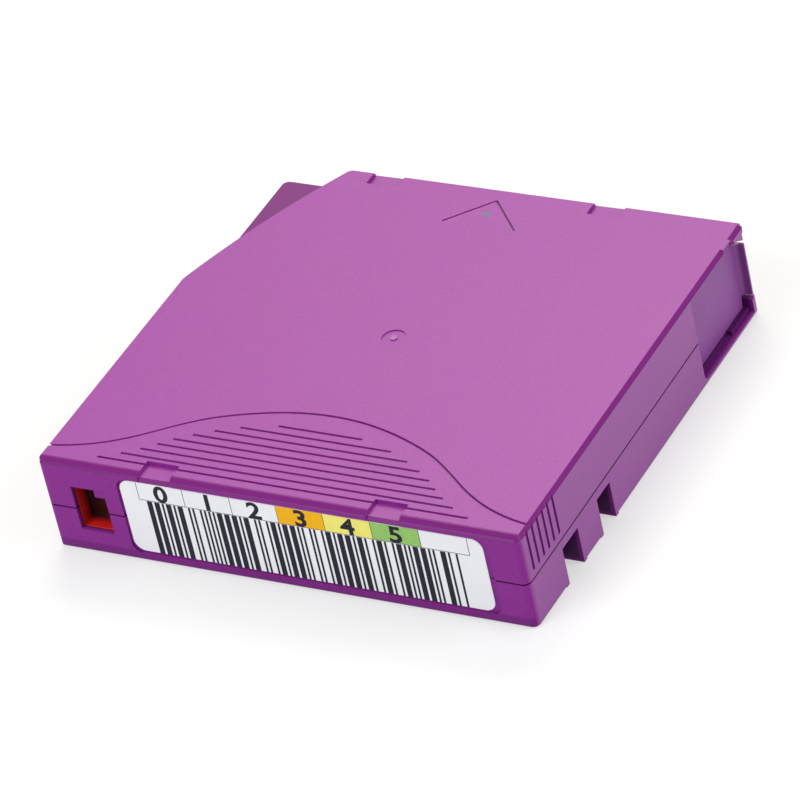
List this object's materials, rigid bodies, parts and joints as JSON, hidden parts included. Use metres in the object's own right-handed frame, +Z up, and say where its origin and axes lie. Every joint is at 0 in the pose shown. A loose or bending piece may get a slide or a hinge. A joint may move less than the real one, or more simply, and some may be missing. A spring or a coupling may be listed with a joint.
{
  "type": "data tape cartridge",
  "caption": "Flat square tape cartridge with one reel, a sliding door near a rear corner, a write-protect slider and a labelled end.",
  "frame": {"origin": "centre of the underside's bounding box", "axes": "+X towards the side with the door, +Y towards the end that goes into a drive first (the label is at -Y), +Z up through the grooved top"},
  "size_m": [0.1054, 0.102, 0.0215],
  "materials": {
    "case_plastic": "satin, finely textured, purple",
    "door_plastic": "satin, purple-grey",
    "slider_plastic": "satin, red",
    "hub_plastic": "natural white",
    "tape": "smooth, nearly black",
    "plate_steel": "plain steel",
    "brake_plastic": "natural white",
    "pad_plastic": "black",
    "spring_steel": "drawn wire",
    "pin_steel": "polished",
    "clip_plastic": "black",
    "label_paper": "satin printed",
    "board_laminate": "green board",
    "chip_plastic": "black",
    "screw_steel": "plated"
  },
  "bodies": {
    "case": {"upper_shell": "case_plastic", "lower_shell": "case_plastic", "leader_pin": "pin_steel", "pin_clip": "clip_plastic", "pin_spring": "spring_steel", "tape_leader": "tape", "barcode_label": "label_paper", "memory_board": "board_laminate", "memory_chip": "chip_plastic", "case_screws": "screw_steel", "door_spring": "spring_steel", "brake_spring": "spring_steel"},
    "sliding_door": {"door": "door_plastic"},
    "write_protect_switch": {"write_protect_slider": "slider_plastic"},
    "reel": {"reel_hub": "hub_plastic", "upper_flange": "hub_plastic", "clutch_plate": "plate_steel", "tape_pack": "tape"},
    "reel_brake": {"brake": "brake_plastic"},
    "brake_release": {"release_pad": "pad_plastic"}
  },
  "joints": [
    {"name": "door_slide", "type": "slide", "parent": "case", "child": "sliding_door", "axis": [0, -1, 0], "range_m": [0, 0.023], "stiffness_N_per_m": 15, "springref_m": -0.027, "deforming": ["door_spring"]},
    {"name": "write_protect_slide", "type": "slide", "parent": "case", "child": "write_protect_switch", "axis": [1, 0, 0], "range_m": [0, 0.0033]},
    {"name": "reel_spin", "type": "hinge", "parent": "case", "child": "reel", "pos_m": [0, 0, 0.0099], "axis": [0, 0, 1], "continuous": true},
    {"name": "brake_lift", "type": "slide", "parent": "case", "child": "reel_brake", "axis": [0, 0, 1], "range_m": [0, 0.0018], "stiffness_N_per_m": 200, "springref_m": -0.012, "deforming": ["brake_spring"]},
    {"name": "release_pad_lift", "type": "slide", "parent": "reel", "child": "brake_release", "axis": [0, 0, 1], "range_m": [0, 0.0018]}
  ],
  "couplings": [
    {"joint": "release_pad_lift", "follows": "brake_lift", "ratio": 1}
  ]
}
